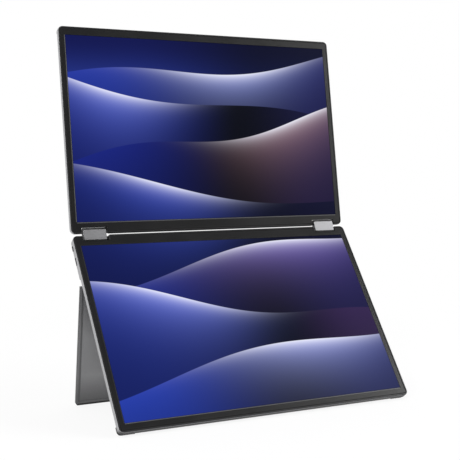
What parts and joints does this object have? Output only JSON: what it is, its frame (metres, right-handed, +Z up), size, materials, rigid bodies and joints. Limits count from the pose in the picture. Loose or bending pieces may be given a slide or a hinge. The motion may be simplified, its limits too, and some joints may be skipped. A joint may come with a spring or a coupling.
{
  "type": "dual portable monitor",
  "caption": "Two flat screens joined edge to edge by geared two-axis hinges, standing on rubber pads and a full-width kickstand behind the lower screen.",
  "frame": {"origin": "on the table, below the middle of the standing pair", "axes": "+Z up, +Y away from the viewer, +X to the viewer's right along the hinge"},
  "size_m": [0.3162, 0.1782, 0.375],
  "materials": {
    "shell": "bead-blasted silver anodised",
    "bezel": "fine matt black",
    "screen": "anti-glare screen glass",
    "light_guide": "clear acrylic with films",
    "board": "solder mask",
    "socket_steel": "nickel-plated shell",
    "black_steel": "blackened steel",
    "steel": "turned steel",
    "gear_steel": "sintered steel",
    "hinge_metal": "satin grey",
    "cap_plastic": "moulded dark grey",
    "bush_bronze": "bronze",
    "stand_metal": "grey anodised",
    "rubber": "matt black rubber",
    "button_plastic": "satin dark grey"
  },
  "bodies": {
    "lower_unit": {"lower_rear_cover": "shell", "lower_bezel": "bezel", "lower_lcd_cell": "screen", "lower_backlight": "light_guide", "main_board": "board", "usb_c_port_left": "socket_steel", "usb_c_port_right": "socket_steel", "mini_hdmi_port": "socket_steel", "lower_hinge_bracket_left": "black_steel", "lower_hinge_bracket_right": "black_steel", "lower_hinge_shaft_left": "steel", "lower_hinge_shaft_right": "steel", "lower_hinge_gear_left": "gear_steel", "lower_hinge_gear_right": "gear_steel", "lower_hinge_screws": "steel", "stand_hinge_block_left": "black_steel", "stand_hinge_block_right": "black_steel", "lower_foot_pads": "rubber"},
    "hinge_link": {"hinge_housing_left": "hinge_metal", "hinge_housing_right": "hinge_metal", "hinge_end_cap_left": "cap_plastic", "hinge_end_cap_right": "cap_plastic", "friction_bushes_left": "bush_bronze", "friction_bushes_right": "bush_bronze"},
    "lower_idlers": {"lower_idler_gear_left": "gear_steel", "lower_idler_gear_right": "gear_steel"},
    "upper_idlers": {"upper_idler_gear_left": "gear_steel", "upper_idler_gear_right": "gear_steel"},
    "upper_unit": {"upper_rear_cover": "shell", "upper_bezel": "bezel", "upper_lcd_cell": "screen", "upper_backlight": "light_guide", "upper_driver_board": "board", "upper_hinge_bracket_left": "black_steel", "upper_hinge_bracket_right": "black_steel", "upper_hinge_shaft_left": "steel", "upper_hinge_shaft_right": "steel", "upper_hinge_gear_left": "gear_steel", "upper_hinge_gear_right": "gear_steel", "upper_hinge_screws": "steel", "upper_bumpers": "rubber"},
    "stand": {"stand_plate": "stand_metal", "stand_rubber_strip": "rubber", "stand_pin_left": "steel", "stand_pin_right": "steel"},
    "power_button": {"power_button": "button_plastic"},
    "menu_button": {"menu_button": "button_plastic"}
  },
  "joints": [
    {"name": "fold_lower", "type": "hinge", "parent": "lower_unit", "child": "hinge_link", "pos_m": [0, 0.04269, 0.16403], "axis": [-1, 0, 0], "range_deg": [-75.95, 64.05]},
    {"name": "fold_upper", "type": "hinge", "parent": "hinge_link", "child": "upper_unit", "pos_m": [0, 0.04618, 0.17167], "axis": [-1, 0, 0], "range_deg": [-75.95, 64.05]},
    {"name": "lower_idler_spin", "type": "hinge", "parent": "hinge_link", "child": "lower_idlers", "pos_m": [0, 0.04386, 0.16658], "axis": [-1, 0, 0], "range_deg": [-75.95, 64.05]},
    {"name": "upper_idler_spin", "type": "hinge", "parent": "hinge_link", "child": "upper_idlers", "pos_m": [0, 0.04502, 0.16913], "axis": [-1, 0, 0], "range_deg": [-64.05, 75.95]},
    {"name": "stand_swing", "type": "hinge", "parent": "lower_unit", "child": "stand", "pos_m": [0, 0.01732, 0.12511], "axis": [1, 0, 0], "range_deg": [-46.4, 43.6]},
    {"name": "power_press", "type": "slide", "parent": "lower_unit", "child": "power_button", "axis": [1, 0, 0], "range_m": [0, 0.0004], "stiffness_N_per_m": 800, "springref_m": -0.0006},
    {"name": "menu_press", "type": "slide", "parent": "lower_unit", "child": "menu_button", "axis": [-1, 0, 0], "range_m": [0, 0.0004], "stiffness_N_per_m": 800, "springref_m": -0.0006}
  ],
  "couplings": [
    {"joint": "fold_upper", "follows": "fold_lower", "ratio": 1},
    {"joint": "lower_idler_spin", "follows": "fold_lower", "ratio": 1},
    {"joint": "upper_idler_spin", "follows": "fold_lower", "ratio": -1}
  ]
}
